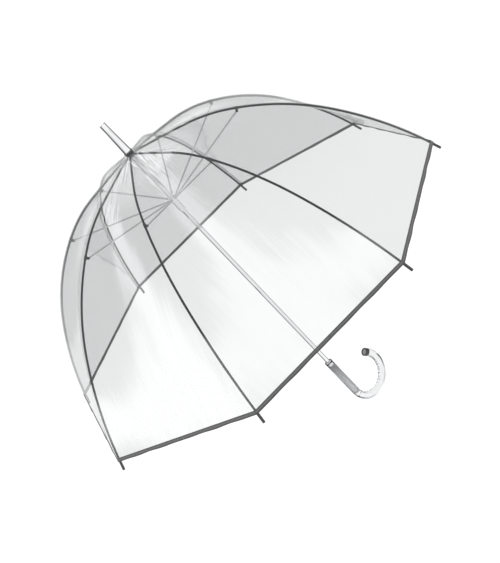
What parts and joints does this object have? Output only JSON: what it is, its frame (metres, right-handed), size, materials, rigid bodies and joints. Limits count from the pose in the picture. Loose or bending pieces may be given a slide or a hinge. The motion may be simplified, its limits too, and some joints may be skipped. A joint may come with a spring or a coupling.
{
  "type": "umbrella",
  "caption": "Clear dome umbrella with curved ribs, hinged stretchers, a sliding runner with catches and a hooked handle.",
  "frame": {"origin": "middle of the straight grip, on the shaft's axis", "axes": "+Z along the shaft from the handle to the ferrule, +X the side the hook bends to"},
  "size_m": [0.8466, 0.8466, 0.7835],
  "materials": {
    "clear_film": "clear flexible film",
    "hem_tape": "woven dark grey binding tape",
    "rib_rod": "charcoal fibreglass rod",
    "tip_plastic": "dark moulded caps",
    "joint_plastic": "dark moulded clips with a steel rivet",
    "stretcher_steel": "light grey steel",
    "shaft_steel": "bright plated steel tube",
    "ferrule_metal": "bright plated tip",
    "crown_plastic": "dark grey moulded",
    "spring_steel": "bare spring steel",
    "runner_metal": "bright plated sleeve",
    "clear_acrylic": "clear moulded acrylic",
    "rim_plastic": "dark moulded rim"
  },
  "bodies": {
    "shaft": {"shaft_tube": "shaft_steel", "ferrule": "ferrule_metal", "crown_cap": "crown_plastic", "top_notch": "crown_plastic", "notch_wire": "spring_steel", "handle": "clear_acrylic", "handle_collar": "rim_plastic", "handle_end_cap": "rim_plastic"},
    "runner": {"runner": "runner_metal", "runner_wire": "spring_steel"},
    "top_catch": {"top_catch": "spring_steel"},
    "bottom_catch": {"bottom_catch": "spring_steel"},
    "rib_1": {"rib_1": "rib_rod", "rib_tip_1": "tip_plastic", "rib_joint_1": "joint_plastic"},
    "rib_2": {"rib_2": "rib_rod", "rib_tip_2": "tip_plastic", "rib_joint_2": "joint_plastic"},
    "rib_3": {"rib_3": "rib_rod", "rib_tip_3": "tip_plastic", "rib_joint_3": "joint_plastic"},
    "rib_4": {"rib_4": "rib_rod", "rib_tip_4": "tip_plastic", "rib_joint_4": "joint_plastic"},
    "rib_5": {"rib_5": "rib_rod", "rib_tip_5": "tip_plastic", "rib_joint_5": "joint_plastic"},
    "rib_6": {"rib_6": "rib_rod", "rib_tip_6": "tip_plastic", "rib_joint_6": "joint_plastic"},
    "rib_7": {"rib_7": "rib_rod", "rib_tip_7": "tip_plastic", "rib_joint_7": "joint_plastic"},
    "rib_8": {"rib_8": "rib_rod", "rib_tip_8": "tip_plastic", "rib_joint_8": "joint_plastic"},
    "stretcher_1": {"stretcher_1": "stretcher_steel"},
    "stretcher_2": {"stretcher_2": "stretcher_steel"},
    "stretcher_3": {"stretcher_3": "stretcher_steel"},
    "stretcher_4": {"stretcher_4": "stretcher_steel"},
    "stretcher_5": {"stretcher_5": "stretcher_steel"},
    "stretcher_6": {"stretcher_6": "stretcher_steel"},
    "stretcher_7": {"stretcher_7": "stretcher_steel"},
    "stretcher_8": {"stretcher_8": "stretcher_steel"},
    "film_fold_1_a": {"canopy_gore_1": "clear_film"},
    "film_fold_1_b": {"hem_binding_1": "hem_tape"},
    "film_fold_2_a": {"canopy_gore_2": "clear_film"},
    "film_fold_2_b": {"hem_binding_2": "hem_tape"},
    "film_fold_3_a": {"canopy_gore_3": "clear_film"},
    "film_fold_3_b": {"hem_binding_3": "hem_tape"},
    "film_fold_4_a": {"canopy_gore_4": "clear_film"},
    "film_fold_4_b": {"hem_binding_4": "hem_tape"},
    "film_fold_5_a": {"canopy_gore_5": "clear_film"},
    "film_fold_5_b": {"hem_binding_5": "hem_tape"},
    "film_fold_6_a": {"canopy_gore_6": "clear_film"},
    "film_fold_6_b": {"hem_binding_6": "hem_tape"},
    "film_fold_7_a": {"canopy_gore_7": "clear_film"},
    "film_fold_7_b": {"hem_binding_7": "hem_tape"},
    "film_fold_8_a": {"canopy_gore_8": "clear_film"},
    "film_fold_8_b": {"hem_binding_8": "hem_tape"}
  },
  "joints": [
    {"name": "rib_1_fold", "type": "hinge", "parent": "shaft", "child": "rib_1", "pos_m": [0.009, 0, 0.615], "axis": [0, 1, 0], "range_deg": [0, 48]},
    {"name": "rib_2_fold", "type": "hinge", "parent": "shaft", "child": "rib_2", "pos_m": [0.00636, 0.00636, 0.615], "axis": [-0.7071, 0.7071, 0], "range_deg": [0, 48.5]},
    {"name": "rib_3_fold", "type": "hinge", "parent": "shaft", "child": "rib_3", "pos_m": [0, 0.009, 0.615], "axis": [-1, 0, 0], "range_deg": [0, 48.5]},
    {"name": "rib_4_fold", "type": "hinge", "parent": "shaft", "child": "rib_4", "pos_m": [-0.00636, 0.00636, 0.615], "axis": [-0.7071, -0.7071, 0], "range_deg": [0, 48.5]},
    {"name": "rib_5_fold", "type": "hinge", "parent": "shaft", "child": "rib_5", "pos_m": [-0.009, 0, 0.615], "axis": [0, -1, 0], "range_deg": [0, 48.5]},
    {"name": "rib_6_fold", "type": "hinge", "parent": "shaft", "child": "rib_6", "pos_m": [-0.00636, -0.00636, 0.615], "axis": [0.7071, -0.7071, 0], "range_deg": [0, 48.5]},
    {"name": "rib_7_fold", "type": "hinge", "parent": "shaft", "child": "rib_7", "pos_m": [0, -0.009, 0.615], "axis": [1, 0, 0], "range_deg": [0, 48.5]},
    {"name": "rib_8_fold", "type": "hinge", "parent": "shaft", "child": "rib_8", "pos_m": [0.00636, -0.00636, 0.615], "axis": [0.7071, 0.7071, 0], "range_deg": [0, 48.5]},
    {"name": "stretcher_1_fold", "type": "hinge", "parent": "rib_1", "child": "stretcher_1", "pos_m": [0.19187, 0, 0.55821], "axis": [0, -1, 0], "range_deg": [0, 97.23]},
    {"name": "stretcher_2_fold", "type": "hinge", "parent": "rib_2", "child": "stretcher_2", "pos_m": [0.13567, 0.13567, 0.55821], "axis": [0.7071, -0.7071, 0], "range_deg": [0, 97.23]},
    {"name": "stretcher_3_fold", "type": "hinge", "parent": "rib_3", "child": "stretcher_3", "pos_m": [0, 0.19187, 0.55821], "axis": [1, 0, 0], "range_deg": [0, 97.23]},
    {"name": "stretcher_4_fold", "type": "hinge", "parent": "rib_4", "child": "stretcher_4", "pos_m": [-0.13567, 0.13567, 0.55821], "axis": [0.7071, 0.7071, 0], "range_deg": [0, 97.23]},
    {"name": "stretcher_5_fold", "type": "hinge", "parent": "rib_5", "child": "stretcher_5", "pos_m": [-0.19187, 0, 0.55821], "axis": [0, 1, 0], "range_deg": [0, 97.23]},
    {"name": "stretcher_6_fold", "type": "hinge", "parent": "rib_6", "child": "stretcher_6", "pos_m": [-0.13567, -0.13567, 0.55821], "axis": [-0.7071, 0.7071, 0], "range_deg": [0, 97.23]},
    {"name": "stretcher_7_fold", "type": "hinge", "parent": "rib_7", "child": "stretcher_7", "pos_m": [0, -0.19187, 0.55821], "axis": [-1, 0, 0], "range_deg": [0, 97.23]},
    {"name": "stretcher_8_fold", "type": "hinge", "parent": "rib_8", "child": "stretcher_8", "pos_m": [0.13567, -0.13567, 0.55821], "axis": [-0.7071, -0.7071, 0], "range_deg": [0, 97.23]},
    {"name": "film_fold_1_a_turn", "type": "hinge", "parent": "rib_1", "child": "film_fold_1_a", "pos_m": [0.009, 0.00179, 0.615], "axis": [-0.4247, -0.8853, -0.1891], "range_deg": [0, 24.29], "deforming": ["canopy_gore_1"]},
    {"name": "film_fold_1_b_turn", "type": "hinge", "parent": "rib_2", "child": "film_fold_1_b", "pos_m": [0.00763, 0.0051, 0.615], "axis": [0.9264, -0.3257, 0.1891], "range_deg": [0, 24.29], "deforming": ["hem_binding_1"]},
    {"name": "film_fold_2_a_turn", "type": "hinge", "parent": "rib_2", "child": "film_fold_2_a", "pos_m": [0.0051, 0.00763, 0.615], "axis": [0.3257, -0.9264, -0.1891], "range_deg": [0, 24.29], "deforming": ["canopy_gore_2"]},
    {"name": "film_fold_2_b_turn", "type": "hinge", "parent": "rib_3", "child": "film_fold_2_b", "pos_m": [0.00179, 0.009, 0.615], "axis": [0.8853, 0.4247, 0.1891], "range_deg": [0, 24.29], "deforming": ["hem_binding_2"]},
    {"name": "film_fold_3_a_turn", "type": "hinge", "parent": "rib_3", "child": "film_fold_3_a", "pos_m": [-0.00179, 0.009, 0.615], "axis": [0.8853, -0.4247, -0.1891], "range_deg": [0, 24.29], "deforming": ["canopy_gore_3"]},
    {"name": "film_fold_3_b_turn", "type": "hinge", "parent": "rib_4", "child": "film_fold_3_b", "pos_m": [-0.0051, 0.00763, 0.615], "axis": [0.3257, 0.9264, 0.1891], "range_deg": [0, 24.29], "deforming": ["hem_binding_3"]},
    {"name": "film_fold_4_a_turn", "type": "hinge", "parent": "rib_4", "child": "film_fold_4_a", "pos_m": [-0.00763, 0.0051, 0.615], "axis": [0.9264, 0.3257, -0.1891], "range_deg": [0, 24.29], "deforming": ["canopy_gore_4"]},
    {"name": "film_fold_4_b_turn", "type": "hinge", "parent": "rib_5", "child": "film_fold_4_b", "pos_m": [-0.009, 0.00179, 0.615], "axis": [-0.4247, 0.8853, 0.1891], "range_deg": [0, 24.29], "deforming": ["hem_binding_4"]},
    {"name": "film_fold_5_a_turn", "type": "hinge", "parent": "rib_5", "child": "film_fold_5_a", "pos_m": [-0.009, -0.00179, 0.615], "axis": [0.4247, 0.8853, -0.1891], "range_deg": [0, 24.29], "deforming": ["canopy_gore_5"]},
    {"name": "film_fold_5_b_turn", "type": "hinge", "parent": "rib_6", "child": "film_fold_5_b", "pos_m": [-0.00763, -0.0051, 0.615], "axis": [-0.9264, 0.3257, 0.1891], "range_deg": [0, 24.29], "deforming": ["hem_binding_5"]},
    {"name": "film_fold_6_a_turn", "type": "hinge", "parent": "rib_6", "child": "film_fold_6_a", "pos_m": [-0.0051, -0.00763, 0.615], "axis": [-0.3257, 0.9264, -0.1891], "range_deg": [0, 24.29], "deforming": ["canopy_gore_6"]},
    {"name": "film_fold_6_b_turn", "type": "hinge", "parent": "rib_7", "child": "film_fold_6_b", "pos_m": [-0.00179, -0.009, 0.615], "axis": [-0.8853, -0.4247, 0.1891], "range_deg": [0, 24.29], "deforming": ["hem_binding_6"]},
    {"name": "film_fold_7_a_turn", "type": "hinge", "parent": "rib_7", "child": "film_fold_7_a", "pos_m": [0.00179, -0.009, 0.615], "axis": [-0.8853, 0.4247, -0.1891], "range_deg": [0, 24.29], "deforming": ["canopy_gore_7"]},
    {"name": "film_fold_7_b_turn", "type": "hinge", "parent": "rib_8", "child": "film_fold_7_b", "pos_m": [0.0051, -0.00763, 0.615], "axis": [-0.3257, -0.9264, 0.1891], "range_deg": [0, 24.29], "deforming": ["hem_binding_7"]},
    {"name": "film_fold_8_a_turn", "type": "hinge", "parent": "rib_8", "child": "film_fold_8_a", "pos_m": [0.00763, -0.0051, 0.615], "axis": [-0.9264, -0.3257, -0.1891], "range_deg": [0, 24.29], "deforming": ["canopy_gore_8"]},
    {"name": "film_fold_8_b_turn", "type": "hinge", "parent": "rib_1", "child": "film_fold_8_b", "pos_m": [0.009, -0.00179, 0.615], "axis": [0.4247, -0.8853, 0.1891], "range_deg": [0, 24.29], "deforming": ["hem_binding_8"]},
    {"name": "runner_slide", "type": "slide", "parent": "shaft", "child": "runner", "axis": [0, 0, 1], "range_m": [-0.2385, 0]},
    {"name": "top_catch_press", "type": "slide", "parent": "shaft", "child": "top_catch", "axis": [0.9239, 0.3827, 0], "range_m": [0, 0.0015], "stiffness_N_per_m": 400},
    {"name": "bottom_catch_press", "type": "slide", "parent": "shaft", "child": "bottom_catch", "axis": [0.9239, 0.3827, 0], "range_m": [0, 0.0015], "stiffness_N_per_m": 400}
  ],
  "couplings": [
    {"joint": "rib_2_fold", "follows": "rib_1_fold", "ratio": 1},
    {"joint": "rib_3_fold", "follows": "rib_1_fold", "ratio": 1},
    {"joint": "rib_4_fold", "follows": "rib_1_fold", "ratio": 1},
    {"joint": "rib_5_fold", "follows": "rib_1_fold", "ratio": 1},
    {"joint": "rib_6_fold", "follows": "rib_1_fold", "ratio": 1},
    {"joint": "rib_7_fold", "follows": "rib_1_fold", "ratio": 1},
    {"joint": "rib_8_fold", "follows": "rib_1_fold", "ratio": 1},
    {"joint": "stretcher_1_fold", "follows": "rib_1_fold", "ratio": 2.0152},
    {"joint": "stretcher_2_fold", "follows": "rib_1_fold", "ratio": 2.0152},
    {"joint": "stretcher_3_fold", "follows": "rib_1_fold", "ratio": 2.0152},
    {"joint": "stretcher_4_fold", "follows": "rib_1_fold", "ratio": 2.0152},
    {"joint": "stretcher_5_fold", "follows": "rib_1_fold", "ratio": 2.0152},
    {"joint": "stretcher_6_fold", "follows": "rib_1_fold", "ratio": 2.0152},
    {"joint": "stretcher_7_fold", "follows": "rib_1_fold", "ratio": 2.0152},
    {"joint": "stretcher_8_fold", "follows": "rib_1_fold", "ratio": 2.0152},
    {"joint": "film_fold_1_a_turn", "follows": "rib_1_fold", "ratio": 0.49555},
    {"joint": "film_fold_1_b_turn", "follows": "rib_1_fold", "ratio": 0.49555},
    {"joint": "film_fold_2_a_turn", "follows": "rib_1_fold", "ratio": 0.49555},
    {"joint": "film_fold_2_b_turn", "follows": "rib_1_fold", "ratio": 0.49555},
    {"joint": "film_fold_3_a_turn", "follows": "rib_1_fold", "ratio": 0.49555},
    {"joint": "film_fold_3_b_turn", "follows": "rib_1_fold", "ratio": 0.49555},
    {"joint": "film_fold_4_a_turn", "follows": "rib_1_fold", "ratio": 0.49555},
    {"joint": "film_fold_4_b_turn", "follows": "rib_1_fold", "ratio": 0.49555},
    {"joint": "film_fold_5_a_turn", "follows": "rib_1_fold", "ratio": 0.49555},
    {"joint": "film_fold_5_b_turn", "follows": "rib_1_fold", "ratio": 0.49555},
    {"joint": "film_fold_6_a_turn", "follows": "rib_1_fold", "ratio": 0.49555},
    {"joint": "film_fold_6_b_turn", "follows": "rib_1_fold", "ratio": 0.49555},
    {"joint": "film_fold_7_a_turn", "follows": "rib_1_fold", "ratio": 0.49555},
    {"joint": "film_fold_7_b_turn", "follows": "rib_1_fold", "ratio": 0.49555},
    {"joint": "film_fold_8_a_turn", "follows": "rib_1_fold", "ratio": 0.49555},
    {"joint": "film_fold_8_b_turn", "follows": "rib_1_fold", "ratio": 0.49555},
    {"joint": "runner_slide", "follows": "rib_1_fold", "m_per_rad": -0.28349}
  ]
}
